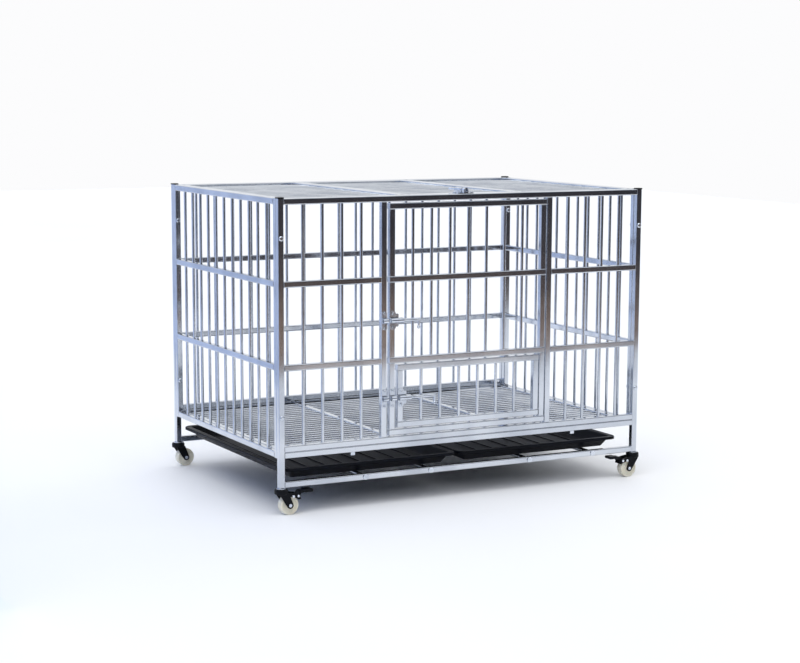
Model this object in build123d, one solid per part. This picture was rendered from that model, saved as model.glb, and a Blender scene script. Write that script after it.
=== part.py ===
from build123d import *
import os

# Kennel cage of stainless square tube and round bar, on four swivel casters.
# Millimetres, +Z up, front face towards -Y. The origin is on the floor, under the
# middle of the whole cage, its latches included.

# ---- overall sizes ----
length = 1100.0          # outer faces of the corner posts, along X
depth = 728.0            # outer faces of the corner posts, along Y
post_length = 736.0      # cut length of a corner post

# ---- stock ----
tube = 16.0              # square tube, outside
tube_wall = 1.0
tube_radius = 2.5        # outside corner of the tube
bar_d = 8.0              # upright bars, roof bars and floor bars
rod_d = 12.0             # tray rods under the floor
plate = 1.5              # folded and punched sheet

# ---- clearances ----
hole_clear = 0.1         # radial, round a bar or bolt in its hole
running_clear = 0.08     # radial, round a shaft that turns
slide_clear = 0.4        # radial, round a latch bolt in its barrel
keeper_clear = 1.1       # radial, round a latch bolt in its keeper
gap = 0.3                # between faces that turn or slide past each other
panel_clear = 0.5        # roof and floor panels inside the four walls
door_gap = 3.0           # round a door, at its hinge side, top and bottom
latch_gap = 8.0          # door edge to frame at the latch side

# ---- heights above the foot of the posts ----
base_rail_z = 76.0       # underside of the floor frame
low_mid_z = 300.0        # underside of the lower middle rails
high_mid_z = 512.0       # underside of the upper middle rails
bolt_low_z = 181.0
bolt_high_z = 636.0

# ---- places along the front ----
opening_left = -243.0    # clear edges of the front opening
opening_right = 243.0
cross_tube_x = 183.0     # roof and floor cross tubes, either side of the middle
rod_x = (-304.0, -110.0, 197.0, 403.0)
bar_pitch = 55.5         # nominal, centre to centre
floor_pitch = 27.8
rod_proud = 1.0          # a tray rod stands this far out of its rail at each end
rod_cap_d = 16.0
rod_cap_t = 2.5

# ---- latches ----
latch_bolt_d = 8.0
barrel_d = 13.0
barrel_length = 35.0
latch_plate_width = 25.0
latch_plate_height = 50.0
plate_lobe_r = 8.0
plate_screw_in = 9.0     # screws from the left edge of a latch plate
main_latch_z = 414.0     # above the foot of the posts
feed_latch_z = 210.0
keeper_width = 14.0
keeper_height = 48.0
screw_d = 3.5
screw_length = 6.0       # under its head
screw_head_d = 6.5
screw_head_h = 2.0
bolt_past = 17.0         # a thrown bolt stands this far past its keeper
handle_d = 6.0
handle_drop = 20.0
roof_throw = 28.0

# ---- pivots ----
pivot_d = 5.0
pivot_inset = 5.0        # pivot axis behind the two faces nearest to it

# ---- panel bolts and caps ----
panel_bolt_d = 6.0
bolt_head_d = 13.0
bolt_head_h = 3.5
nut_width = 10.0
nut_h = 5.0
cap_over = 1.0           # a cap stands this far outside its tube
cap_t = 3.0
plug_length = 20.0
plug_clear = 0.2

# ---- trays ----
tray_gap = 8.0           # between the two trays
tray_side_gap = 4.0      # left tray to the left corner posts
tray_spare = 40.0        # right tray to the right corner posts
tray_front_inset = 12.0
tray_rear_inset = 14.0
tray_wall = 2.5
tray_top = 46.0          # rim, above the foot of the posts
tray_rim = 14.0          # width of the flat rim
tray_taper = 18.0        # the floor of the tub is smaller on each side by this
tray_corner = 25.0
tray_travel = 0.6        # metres, drawn out to the front

# ---- casters ----
wheel_d = 50.0
caster_rise = 20.0       # top of a wheel to the foot of a post
wheel_width = 22.0
caster_offset = 19.0     # axle behind the swivel axis
axle_d = 6.0
fork_gap = 25.0          # between the two cheeks
cheek_t = 3.0
boss_r = 8.5
head_d = 36.0
head_h = 14.0
stem_d = 10.0
stem_flange_d = 26.0
flange_h = 1.5
brake_back = 2.5         # brake pivot to the plane that touches the back of the tread
brake_drop = 22.0        # brake pivot below the foot of the post
brake_pin_d = 4.0
rivet_back = 14.0        # bracket rivet from the brake pivot
pedal_length = 43.0      # brake pivot to the end of the pedal
paddle_length = 24.0     # thick end of the pedal
paddle_t = 8.0
pedal_rise = 11.0        # middle of the paddle above the brake pivot
shoe_gap = 1.4           # shoe to tread when released

# ---- worked out from the sizes above ----
half_x = length / 2
half_y = depth / 2
foot = wheel_d + caster_rise
top = foot + post_length
latch_reach = plate + barrel_d
head_over = (head_d - tube) / 2
y_shift = (latch_reach - head_over) / 2
front_y = y_shift - half_y
rear_y = y_shift + half_y
post_x = half_x - tube / 2
front_tube_y = front_y + tube / 2
rear_tube_y = rear_y - tube / 2
front_stile_y = front_tube_y + tube
rear_stile_y = rear_tube_y - tube
panel_low = foot + base_rail_z + tube
door_left = opening_left + latch_gap
door_right = opening_right - door_gap
door_low = panel_low + tube + door_gap
door_top = top - tube - door_gap
feed_left = door_left + tube + latch_gap
feed_right = door_right - tube - door_gap
feed_low = door_low + tube + door_gap
feed_top = foot + low_mid_z - door_gap
axle_z = wheel_d / 2
brake_x = caster_offset + wheel_d / 2 - brake_back
brake_z = foot - brake_drop
main_z = foot + main_latch_z
feed_z = foot + feed_latch_z
barrel_rise = plate + barrel_d / 2     # bolt axis in front of the face
screw_hole_r = screw_d / 2 + hole_clear
plate_screw_rise = latch_plate_height / 2 - plate_lobe_r
keeper_screw_rise = keeper_height / 2 - screw_head_d / 2 - 0.5


def square_tube(axis, low, high, u, v):
    """Hollow square tube along one axis, centred at u, v in the other two."""
    outer = RectangleRounded(tube, tube, tube_radius)
    bore = tube - 2 * tube_wall
    body = extrude(outer - RectangleRounded(bore, bore, tube_radius - tube_wall), high - low)
    if axis == "x":
        return Pos(low, u, v) * Rot(0, 90, 0) * body
    if axis == "y":
        return Pos(u, low, v) * Rot(-90, 0, 0) * body
    return Pos(u, v, low) * body


def rod(axis, low, high, u, v, diameter=bar_d):
    """Round rod along one axis, centred at u, v in the other two."""
    body = extrude(Circle(diameter / 2), high - low)
    if axis == "x":
        return Pos(low, u, v) * Rot(0, 90, 0) * body
    if axis == "y":
        return Pos(u, low, v) * Rot(-90, 0, 0) * body
    return Pos(u, v, low) * body


def spread(low, high, nominal=bar_pitch):
    """Centres of the bars that fill a clear width at the nominal pitch."""
    spaces = round((high - low) / nominal)
    pitch = (high - low) / spaces
    return [low + pitch * i for i in range(1, spaces)]


def drilled(rail, rods, diameter=bar_d):
    """A rail with a hole for each rod that passes through it."""
    for axis, u, v in rods:
        reach = 2 * length
        rail = rail - rod(axis, -reach, reach, u, v, diameter + 2 * hole_clear)
    return rail


def screwed(piece, x, z, rise):
    """A tube with two screw holes through its front wall, above and below z."""
    for s in (-1, 1):
        piece = piece - rod("y", front_y - 1, front_y + 2 * tube_wall, x, z + s * rise,
                            2 * screw_hole_r)
    return piece


def roof_screwed(piece, y, rise):
    """A tube with two screw holes through its top wall, either side of the middle."""
    for s in (-1, 1):
        piece = piece - rod("z", top - 2 * tube_wall, top + 1, s * rise, y, 2 * screw_hole_r)
    return piece


def write(name, solids):
    """One STEP file for a node, with its pieces as separate solids."""
    pieces = []
    for piece in solids:
        pieces += list(piece.solids())
    node = pieces[0] if len(pieces) == 1 else Compound(children=pieces)
    node.label = name
    export_step(node, os.path.join("parts", name + ".step"))


os.makedirs("parts", exist_ok=True)


# ---- corner posts, their caps and the bolts that hold the side panels ----
def corners():
    for sx in (-1, 1):
        for sy, y in ((-1, front_tube_y), (1, rear_tube_y)):
            yield sx, sy, sx * post_x, y


panel_bolt_z = (foot + bolt_low_z, foot + bolt_high_z)


def bolt_places():
    """X of each post and the front face of each post-and-stile pair."""
    for sx, sy, x, y in corners():
        first = front_y if sy < 0 else rear_y - 2 * tube
        for z in panel_bolt_z:
            yield x, first, z


bolt_lines = [("y", sx * post_x, z) for sx in (-1, 1) for z in panel_bolt_z]


def post(x, y):
    return drilled(square_tube("z", foot, top, x, y), [b for b in bolt_lines if b[1] == x],
                   panel_bolt_d)


def post_cap(x, y):
    """Moulded cap with a plug that fits the bore of the post."""
    side = tube + 2 * cap_over
    cover = extrude(RectangleRounded(side, side, tube_radius), cap_t)
    cover = chamfer(cover.faces().sort_by(Axis.Z)[-1].edges(), cap_t / 4)
    bore = tube - 2 * tube_wall - 2 * plug_clear
    plug = extrude(RectangleRounded(bore, bore, 1.0), -plug_length / 2)
    return Pos(x, y, top) * (cover + plug)


def panel_bolt(x, face_y, z):
    """Dome-headed bolt through a post and a stile, along Y."""
    end = face_y + 2 * tube + nut_h + 2.0
    shank = rod("y", face_y, end, x, z, panel_bolt_d)
    head = extrude(Circle(bolt_head_d / 2), bolt_head_h)
    head = fillet(head.faces().sort_by(Axis.Z)[-1].edges(), bolt_head_h * 0.85)
    return shank + Pos(x, face_y, z) * Rot(90, 0, 0) * head


def panel_nut(x, face_y, z):
    """Hexagon nut on the far face of the pair."""
    hexagon = extrude(RegularPolygon(nut_width / 2, 6, major_radius=False), nut_h)
    hexagon = hexagon - Cylinder(panel_bolt_d / 2 + hole_clear, 4 * nut_h)
    return Pos(x, face_y + 2 * tube, z) * Rot(-90, 0, 0) * hexagon


write("corner_posts", [post(x, y) for sx, sy, x, y in corners()])
write("post_caps", [post_cap(x, y) for sx, sy, x, y in corners()])
write("panel_bolts", [panel_bolt(x, y, z) for x, y, z in bolt_places()])
write("panel_nuts", [panel_nut(x, y, z) for x, y, z in bolt_places()])

# ---- front panel: rails, jambs and bars either side of the opening ----
inner_x = half_x - tube
jamb_left_x = opening_left - tube / 2
jamb_right_x = opening_right + tube / 2
panel_bar_low = panel_low + tube
panel_bar_top = top - tube
mid_z = (foot + low_mid_z + tube / 2, foot + high_mid_z + tube / 2)
front_sections = ((-inner_x, opening_left - tube), (opening_right + tube, inner_x))
front_bar_x = [x for low, high in front_sections for x in spread(low, high)]


def pivot_x(right_edge):
    return right_edge - pivot_inset


pivot_y = front_y + pivot_inset


def pivot_hole(x, low, high):
    return rod("z", low, high, x, pivot_y, pivot_d + 2 * hole_clear)


front_top_rail = square_tube("x", -inner_x, inner_x, front_tube_y, top - tube / 2)
front_top_rail = front_top_rail - pivot_hole(pivot_x(door_right), top - tube - 1, top - tube + 4)
front_low_rail = square_tube("x", -inner_x, inner_x, front_tube_y, panel_low + tube / 2)
front_low_rail = front_low_rail - pivot_hole(pivot_x(door_right), panel_low + tube - 4,
                                             panel_low + tube + 1)
front_mid_rails = []
for low, high in front_sections:
    for z in mid_z:
        rail = square_tube("x", low, high, front_tube_y, z)
        front_mid_rails.append(drilled(rail, [("z", x, front_tube_y) for x in spread(low, high)]))
write("front_rails", [front_top_rail, front_low_rail] + front_mid_rails)
jambs = [square_tube("z", panel_bar_low, panel_bar_top, x, front_tube_y)
         for x in (jamb_left_x, jamb_right_x)]
for z in (main_z, feed_z):
    jambs[0] = screwed(jambs[0], jamb_left_x, z, keeper_screw_rise)
write("front_jambs", jambs)
write("front_bars", [rod("z", panel_bar_low, panel_bar_top, x, front_tube_y) for x in front_bar_x])

# ---- rear panel ----
rear_bar_x = spread(-inner_x, inner_x)
rear_rails = [square_tube("x", -inner_x, inner_x, rear_tube_y, z)
              for z in (panel_low + tube / 2, top - tube / 2)]
for z in mid_z:
    rail = square_tube("x", -inner_x, inner_x, rear_tube_y, z)
    rear_rails.append(drilled(rail, [("z", x, rear_tube_y) for x in rear_bar_x]))
write("rear_rails", rear_rails)
write("rear_bars", [rod("z", panel_bar_low, panel_bar_top, x, rear_tube_y) for x in rear_bar_x])

# ---- side panels: each is one frame bolted to the posts ----
side_low = foot + base_rail_z
side_inner = (front_stile_y + tube / 2, rear_stile_y - tube / 2)
side_bar_y = spread(*side_inner)


def side_frame(x):
    pieces = []
    for y in (front_stile_y, rear_stile_y):
        stile = square_tube("z", side_low, top, x, y)
        pieces.append(drilled(stile, [b for b in bolt_lines if b[1] == x], panel_bolt_d))
    for z in (side_low + tube / 2, top - tube / 2):
        pieces.append(square_tube("y", *side_inner, x, z))
    for z in mid_z:
        rail = square_tube("y", *side_inner, x, z)
        pieces.append(drilled(rail, [("z", x, y) for y in side_bar_y]))
    return pieces


for side, x in (("left", -post_x), ("right", post_x)):
    write(side + "_side_frame", side_frame(x))
    write(side + "_side_bars", [rod("z", side_low + tube, top - tube, x, y) for y in side_bar_y])

# ---- roof panel and floor panel: frames of tube with bars along the cage ----
panel_half_x = half_x - tube - panel_clear
roof_front = front_y + tube + panel_clear
roof_rear = rear_y - tube - panel_clear
roof_z = top - tube / 2
hatch_left = -cross_tube_x + tube / 2 + door_gap
hatch_right = cross_tube_x - tube / 2 - door_gap
hatch_front = roof_front + tube + door_gap
hatch_rear = roof_rear - tube - door_gap
hatch_pivot_y = hatch_rear - pivot_inset
hatch_pivot_z = top - pivot_inset
floor_z = foot + base_rail_z + tube / 2


def bays():
    """Clear widths between the side frames and the two cross tubes."""
    inner = panel_half_x - tube
    edge = cross_tube_x - tube / 2
    return ((-inner, -edge - tube), (-edge, edge), (edge + tube, inner))


def tube_panel(front, rear, z, half_length):
    """Frame with two cross tubes: long front and rear tubes, four tubes between them."""
    pieces = [square_tube("x", -half_length, half_length, y, z)
              for y in (front + tube / 2, rear - tube / 2)]
    for x in (-panel_half_x + tube / 2, -cross_tube_x, cross_tube_x, panel_half_x - tube / 2):
        pieces.append(square_tube("y", front + tube, rear - tube, x, z))
    return pieces


def hatch_pin_hole(low, high):
    return rod("x", low, high, hatch_pivot_y, hatch_pivot_z, pivot_d + 2 * hole_clear)


roof_pieces = tube_panel(roof_front, roof_rear, roof_z, panel_half_x)
bay_left = -cross_tube_x + tube / 2
roof_pieces[3] = roof_pieces[3] - hatch_pin_hole(bay_left - 4, bay_left + 1)
roof_pieces[4] = roof_pieces[4] - hatch_pin_hole(-bay_left - 1, -bay_left + 4)
roof_pieces[0] = roof_screwed(roof_pieces[0], roof_front + tube / 2, keeper_screw_rise)
write("roof_frame", roof_pieces)
roof_bar_y = spread(roof_front + tube, roof_rear - tube)
write("roof_bars", [rod("x", low, high, y, roof_z)
                    for low, high in (bays()[0], bays()[2]) for y in roof_bar_y])

floor_bar_y = spread(front_y + tube, rear_y - tube, floor_pitch)
floor_bar_end = panel_half_x - tube
floor_pieces = tube_panel(front_y, rear_y, floor_z, inner_x)
for i in (3, 4):
    floor_pieces[i] = drilled(floor_pieces[i], [("x", y, floor_z) for y in floor_bar_y])
write("floor_frame", floor_pieces)
write("floor_bars", [rod("x", -floor_bar_end, floor_bar_end, y, floor_z) for y in floor_bar_y])

# ---- lower rails, tray rods and tray hooks ----
lower_rail_z = foot + tube / 2
lower_rails = [drilled(square_tube("x", -inner_x, inner_x, y, lower_rail_z),
                       [("y", x, lower_rail_z) for x in rod_x], rod_d)
               for y in (front_tube_y, rear_tube_y)]
write("lower_rails", lower_rails)
write("tray_rods", [rod("y", front_y - rod_proud, rear_y + rod_proud, x, lower_rail_z, rod_d)
                    for x in rod_x])


def rod_cap(x, face_y, outward):
    """Cap pressed over the end of a tray rod, flat on the outer face of the rail."""
    disc = extrude(Circle(rod_cap_d / 2), rod_cap_t)
    disc = fillet(disc.faces().sort_by(Axis.Z)[-1].edges(), rod_cap_t / 3)
    disc = disc - Cylinder(rod_d / 2 + hole_clear, 2 * (rod_proud + hole_clear))
    return Pos(x, face_y, lower_rail_z) * Rot(-90 * outward, 0, 0) * disc


write("tray_rod_caps", [rod_cap(x, y, outward) for x in rod_x
                        for y, outward in ((front_y, -1), (rear_y, 1))])

hook_x = 338.0
hook_width = 12.0
hook_drop = 9.0


def tray_hook(x):
    """Folded tab under the front tube of the floor frame."""
    low = foot + base_rail_z - hook_drop
    upright = Pos(x, front_tube_y, low + hook_drop / 2) * Box(hook_width, plate, hook_drop)
    lip = Pos(x, front_tube_y + 2 * plate, low + plate / 2) * Box(hook_width, 4 * plate, plate)
    return upright + lip


write("tray_hooks", [tray_hook(x) for x in (-hook_x, hook_x)])

# ---- door pivots ----
pin_reach = 3.5          # into the wall of a frame tube, and into the door


def pivot_pins(x, low, high):
    """Two pins across the gaps above and below a door."""
    lower = rod("z", low - door_gap - pin_reach, low + pin_reach, x, pivot_y, pivot_d)
    upper = rod("z", high - pin_reach, high + door_gap + pin_reach, x, pivot_y, pivot_d)
    return [lower, upper]


def running_hole(x, low, high):
    return rod("z", low, high, x, pivot_y, pivot_d + 2 * running_clear)


hatch_pins = [rod("x", x - door_gap / 2 - pin_reach, x + door_gap / 2 + pin_reach, hatch_pivot_y,
                  hatch_pivot_z, pivot_d) for x in (hatch_left - door_gap / 2,
                                                    hatch_right + door_gap / 2)]
write("door_and_hatch_pivot_pins", pivot_pins(pivot_x(door_right), door_low, door_top)
      + hatch_pins)
write("feed_door_pivot_pins", pivot_pins(pivot_x(feed_right), feed_low, feed_top))

# ---- main door ----
door_mid_z = foot + high_mid_z + tube / 2
door_split_z = foot + low_mid_z + tube / 2
door_inner = (door_left + tube, door_right - tube)
door_bar_x = spread(*door_inner)
door_rails = []
for z in (door_low + tube / 2, door_split_z, door_mid_z, door_top - tube / 2):
    rail = square_tube("x", door_left, door_right, front_tube_y, z)
    if z == door_mid_z:
        rail = drilled(rail, [("z", x, front_tube_y) for x in door_bar_x])
    door_rails.append(rail)
door_rails[0] = (door_rails[0] - running_hole(pivot_x(door_right), door_low - 1, door_low + 4)
                 - pivot_hole(pivot_x(feed_right), door_low + tube - 4, door_low + tube + 1))
door_rails[1] = door_rails[1] - pivot_hole(pivot_x(feed_right), foot + low_mid_z - 1,
                                           foot + low_mid_z + 4)
door_rails[3] = door_rails[3] - running_hole(pivot_x(door_right), door_top - 4, door_top + 1)
door_stiles = []
stile_breaks = ((door_low + tube, door_split_z - tube / 2), (door_split_z + tube / 2,
                door_mid_z - tube / 2), (door_mid_z + tube / 2, door_top - tube))
for x in (door_left + tube / 2, door_right - tube / 2):
    for low, high in stile_breaks:
        door_stiles.append(square_tube("z", low, high, x, front_tube_y))
door_stiles[0] = screwed(door_stiles[0], door_left + tube / 2, feed_z, keeper_screw_rise)
door_stiles[1] = screwed(door_stiles[1], door_left + plate_screw_in, main_z, plate_screw_rise)
write("main_door_frame", door_rails + door_stiles)
write("main_door_bars", [rod("z", door_split_z + tube / 2, door_top - tube, x, front_tube_y)
                         for x in door_bar_x])

# ---- feed door, inside the lower part of the main door ----
feed_rails = [square_tube("x", feed_left, feed_right, front_tube_y, z)
              for z in (feed_low + tube / 2, feed_top - tube / 2)]
feed_rails[0] = feed_rails[0] - running_hole(pivot_x(feed_right), feed_low - 1, feed_low + 4)
feed_rails[1] = feed_rails[1] - running_hole(pivot_x(feed_right), feed_top - 4, feed_top + 1)
feed_stiles = [square_tube("z", feed_low + tube, feed_top - tube, x, front_tube_y)
               for x in (feed_left + tube / 2, feed_right - tube / 2)]
feed_stiles[0] = screwed(feed_stiles[0], feed_left + plate_screw_in, feed_z, plate_screw_rise)
feed_bar_x = spread(feed_left + tube, feed_right - tube)
write("feed_door_frame", feed_rails + feed_stiles)
write("feed_door_bars", [rod("z", feed_low + tube, feed_top - tube, x, front_tube_y)
                         for x in feed_bar_x])

# ---- roof hatch, in the middle bay ----
hatch_rails = [square_tube("y", hatch_front, hatch_rear, x, roof_z)
               for x in (hatch_left + tube / 2, hatch_right - tube / 2)]
hatch_bore = rod("x", hatch_left - 1, hatch_left + 4, hatch_pivot_y, hatch_pivot_z,
                 pivot_d + 2 * running_clear)
hatch_rails[0] = hatch_rails[0] - hatch_bore
hatch_rails[1] = hatch_rails[1] - Pos(hatch_right - hatch_left - 3, 0, 0) * hatch_bore
hatch_ends = [square_tube("x", hatch_left + tube, hatch_right - tube, y, roof_z)
              for y in (hatch_front + tube / 2, hatch_rear - tube / 2)]
hatch_bar_y = [y for y in roof_bar_y if hatch_front + tube + bar_d < y < hatch_rear - tube - bar_d]
hatch_ends[0] = roof_screwed(hatch_ends[0], hatch_front + plate_screw_in, plate_screw_rise)
write("roof_hatch_frame", hatch_rails + hatch_ends)
write("roof_hatch_bars", [rod("x", hatch_left + tube, hatch_right - tube, y, roof_z)
                          for y in hatch_bar_y])


# ---- latches: each is drawn with its bolt along +X, on a face towards -Y ----
def lobed_plate():
    """Punched plate, left edge at x = 0, with a round lobe above and below its middle."""
    body = Pos(latch_plate_width / 2, 0) * RectangleRounded(
        latch_plate_width, latch_plate_height - 2 * plate_lobe_r, 3.0)
    for s in (-1, 1):
        body = body + Pos(plate_screw_in, s * plate_screw_rise) * Circle(plate_lobe_r)
    for s in (-1, 1):
        body = body - Pos(plate_screw_in, s * plate_screw_rise) * Circle(screw_hole_r)
    return extrude(body, plate)


def stand_up(piece):
    """Turn a piece drawn on XY, facing +Z, to stand on XZ, facing -Y."""
    return Rot(90, 0, 0) * piece


def latch_body():
    """Plate and barrel; the plate's left edge is at x = 0, the bolt axis at z = 0."""
    back = lobed_plate()
    barrel = Pos(0, 0, barrel_rise) * Rot(0, 90, 0) * extrude(Circle(barrel_d / 2), barrel_length)
    saddle = Pos(barrel_length / 2, 0, barrel_rise / 2) * Box(barrel_length, barrel_d, barrel_rise)
    barrel = barrel + saddle
    bore = rod("x", -1, barrel_length + 1, 0, barrel_rise, latch_bolt_d + 2 * slide_clear)
    return stand_up(back + barrel - bore)


def keeper():
    """Staple on a back plate, centred on its own middle."""
    back = RectangleRounded(keeper_width, keeper_height, 3.0)
    for s in (-1, 1):
        back = back - Pos(0, s * keeper_screw_rise) * Circle(screw_hole_r)
    loop = Pos(-keeper_width / 2, 0, barrel_rise) * Rot(0, 90, 0) * extrude(Circle(barrel_d / 2),
                                                                           keeper_width)
    loop = loop + Pos(0, 0, barrel_rise / 2) * Box(keeper_width, barrel_d, barrel_rise)
    bore = rod("x", -keeper_width, keeper_width, 0, barrel_rise, latch_bolt_d + 2 * keeper_clear)
    return stand_up(extrude(back, plate) + loop - bore)


def latch_bolt(span):
    """Round bolt with a cranked handle; its tip is at x = 0."""
    shank = extrude(Circle(latch_bolt_d / 2), span)
    shank = chamfer(shank.faces().sort_by(Axis.Z)[0].edges(), 1.0)
    shank = Pos(0, 0, barrel_rise) * Rot(0, 90, 0) * shank
    arm = Pos(span - handle_d / 2 - 1, -handle_drop / 2, barrel_rise) * Rot(90, 0, 0) * Cylinder(
        handle_d / 2, handle_drop)
    knob = Pos(span - handle_d / 2 - 1, -handle_drop, barrel_rise) * Sphere(handle_d / 2 + 1.5)
    return stand_up(shank + arm + knob)


def screw():
    """Domed screw through a plate, drawn with its head towards -Y and its seat at y = 0."""
    shank = Pos(0, 0, -screw_length / 2) * Cylinder(screw_d / 2, screw_length)
    head = extrude(Circle(screw_head_d / 2), screw_head_h)
    head = chamfer(head.faces().sort_by(Axis.Z)[-1].edges(), screw_head_h / 3)
    return stand_up(shank + head)


def screw_pair(x, z, rise):
    return [Pos(x, front_y - plate, z + s * rise) * screw() for s in (-1, 1)]


tip_back = 2.0           # a drawn bolt stops this far inside the edge of its door
jamb_keeper_x = jamb_left_x
main_throw = door_left + tip_back - (jamb_left_x - keeper_width / 2 - bolt_past)
feed_throw = feed_left + tip_back - (jamb_left_x - keeper_width / 2 - bolt_past)
bolt_room = handle_d + 2.0


def bolt_span(throw):
    """Bolt length: its handle clears the barrel with the bolt thrown."""
    return barrel_length + throw + bolt_room - tip_back


write("main_latch_plate", [Pos(door_left, front_y, main_z) * latch_body()])
write("main_latch_bolt", [Pos(door_left + tip_back, front_y, main_z)
                          * latch_bolt(bolt_span(main_throw))])
write("main_latch_keeper", [Pos(jamb_keeper_x, front_y, main_z) * keeper()])
write("feed_latch_plate", [Pos(feed_left, front_y, feed_z) * latch_body()])
write("feed_latch_bolt", [Pos(feed_left + tip_back, front_y, feed_z)
                          * latch_bolt(bolt_span(feed_throw))])
write("feed_latch_keeper", [Pos(jamb_keeper_x, front_y, feed_z) * keeper()])
write("feed_door_keeper", [Pos(door_left + tube / 2, front_y, feed_z) * keeper()])
write("main_door_latch_screws", screw_pair(door_left + plate_screw_in, main_z, plate_screw_rise)
      + screw_pair(door_left + tube / 2, feed_z, keeper_screw_rise))
write("feed_latch_screws", screw_pair(feed_left + plate_screw_in, feed_z, plate_screw_rise))

# ---- roof latch: the same pieces laid on the hatch, bolt towards the front ----
roof_plate_y = hatch_front
roof_keeper_y = roof_front + tube / 2


def lay_on_roof(piece, y):
    """From the upright latch position to the roof: +X becomes +Y, -Y becomes +Z."""
    return Pos(0, y, top) * Rot(0, 0, 90) * Rot(-90, 0, 0) * piece


roof_span = barrel_length + roof_throw + bolt_room - tip_back
write("roof_latch_plate", [lay_on_roof(latch_body(), roof_plate_y)])
write("roof_latch_bolt", [lay_on_roof(latch_bolt(roof_span), roof_plate_y + tip_back)])
write("roof_latch_keeper", [lay_on_roof(keeper(), roof_keeper_y)])


def roof_screw_pair(x, y, rise):
    return [lay_on_roof(Pos(x, -plate, s * rise) * screw(), y) for s in (-1, 1)]


write("roof_latch_screws", roof_screw_pair(plate_screw_in, roof_plate_y, plate_screw_rise))
write("keeper_screws", screw_pair(jamb_keeper_x, main_z, keeper_screw_rise)
      + screw_pair(jamb_keeper_x, feed_z, keeper_screw_rise)
      + roof_screw_pair(0, roof_keeper_y, keeper_screw_rise))


# ---- trays ----
def frustum(low_x, low_y, high_x, high_y, low_z, high_z, corner):
    """Tapered box with rounded corners, centred on the Z axis."""
    lower = Pos(0, 0, low_z) * RectangleRounded(low_x, low_y, corner)
    upper = Pos(0, 0, high_z) * RectangleRounded(high_x, high_y, corner)
    return loft([lower, upper])


tray_width = (length - 2 * tube - tray_side_gap - tray_gap - tray_spare) / 2
tray_depth = depth - tray_front_inset - tray_rear_inset
tray_low = foot + tube + gap
tray_high = foot + tray_top


def tray(x, y):
    """Moulded tub with a flat rim turned out all round."""
    mouth_x = tray_width - 2 * tray_rim
    mouth_y = tray_depth - 2 * tray_rim
    tub = frustum(mouth_x - 2 * tray_taper, mouth_y - 2 * tray_taper, mouth_x, mouth_y,
                  tray_low, tray_high, tray_corner)
    hollow = frustum(mouth_x - 2 * tray_taper - 2 * tray_wall, mouth_y - 2 * tray_taper
                     - 2 * tray_wall, mouth_x - 2 * tray_wall, mouth_y - 2 * tray_wall,
                     tray_low + tray_wall, tray_high + 0.01, tray_corner - tray_wall)
    rim = Pos(0, 0, tray_high - tray_wall) * extrude(
        RectangleRounded(tray_width, tray_depth, tray_corner), tray_wall)
    skirt_side = RectangleRounded(tray_width, tray_depth, tray_corner)
    skirt_side = skirt_side - RectangleRounded(tray_width - 2 * tray_wall,
                                               tray_depth - 2 * tray_wall, tray_corner - tray_wall)
    skirt = Pos(0, 0, tray_high - 3 * tray_wall) * extrude(skirt_side, 3 * tray_wall)
    return Pos(x, y, 0) * (tub + rim + skirt - hollow)


left_tray_x = tray_side_gap + tray_width / 2 - inner_x
right_tray_x = left_tray_x + tray_width + tray_gap
tray_y = (front_y + tray_front_inset + rear_y - tray_rear_inset) / 2
write("left_tray", [tray(left_tray_x, tray_y)])
write("right_tray", [tray(right_tray_x, tray_y)])


# ---- casters: drawn round the swivel axis, trailing towards +X, floor at z = 0 ----
head_top = foot - flange_h - gap
head_low = head_top - head_h


def upright_profile(face, thickness):
    """A face drawn as x, z, given a thickness centred on y = 0."""
    return Rot(90, 0, 0) * Pos(0, 0, -thickness / 2) * extrude(face, thickness)


def caster_stem():
    """Flange under the post, plug in its bore, and the rivet that the fork turns on."""
    flange = Pos(0, 0, head_top + gap) * extrude(Circle(stem_flange_d / 2), flange_h)
    bore = tube - 2 * tube_wall - 2 * plug_clear
    plug = Pos(0, 0, foot) * extrude(RectangleRounded(bore, bore, 1.0), plug_length)
    rivet = Pos(0, 0, head_low - gap - 1.5) * extrude(Circle(stem_d / 2), head_h + 2 * gap + 1.5)
    button = Pos(0, 0, head_low - gap - 1.5) * extrude(Circle(stem_d / 2 + 2), 1.5)
    return flange + plug + rivet + button


def fork(with_brake):
    """Round head with two cheeks that taper to the axle boss."""
    head = Pos(0, 0, head_low) * extrude(Circle(head_d / 2), head_h)
    head = fillet(head.faces().sort_by(Axis.Z)[-1].edges(), 5.0)
    head = fillet(head.faces().sort_by(Axis.Z)[0].edges(), 2.0)
    root = Pos(2, head_low + 3) * Rectangle(head_d - 10, 2)
    cheek = make_hull(root.edges() + (Pos(caster_offset, axle_z) * Circle(boss_r)).edges())
    if with_brake:
        bracket = (Pos(brake_x, brake_z) * Circle(boss_r - 2.5)).edges()
        cheek = cheek + make_hull(root.edges() + bracket)
    width = fork_gap + 2 * cheek_t
    cheeks = upright_profile(cheek, width) - upright_profile(cheek, fork_gap)
    blank = head + cheeks
    blank = blank - Pos(0, 0, head_low) * Cylinder(stem_d / 2 + running_clear, 4 * head_h)
    axle_hole = Pos(caster_offset, 0, axle_z) * Rot(90, 0, 0) * Cylinder(axle_d / 2 + hole_clear,
                                                                         2 * width)
    blank = blank - axle_hole
    if with_brake:
        blank = blank - Pos(brake_x, 0, brake_z) * Rot(90, 0, 0) * Cylinder(
            brake_pin_d / 2 + hole_clear, 2 * width)
    return blank


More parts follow.
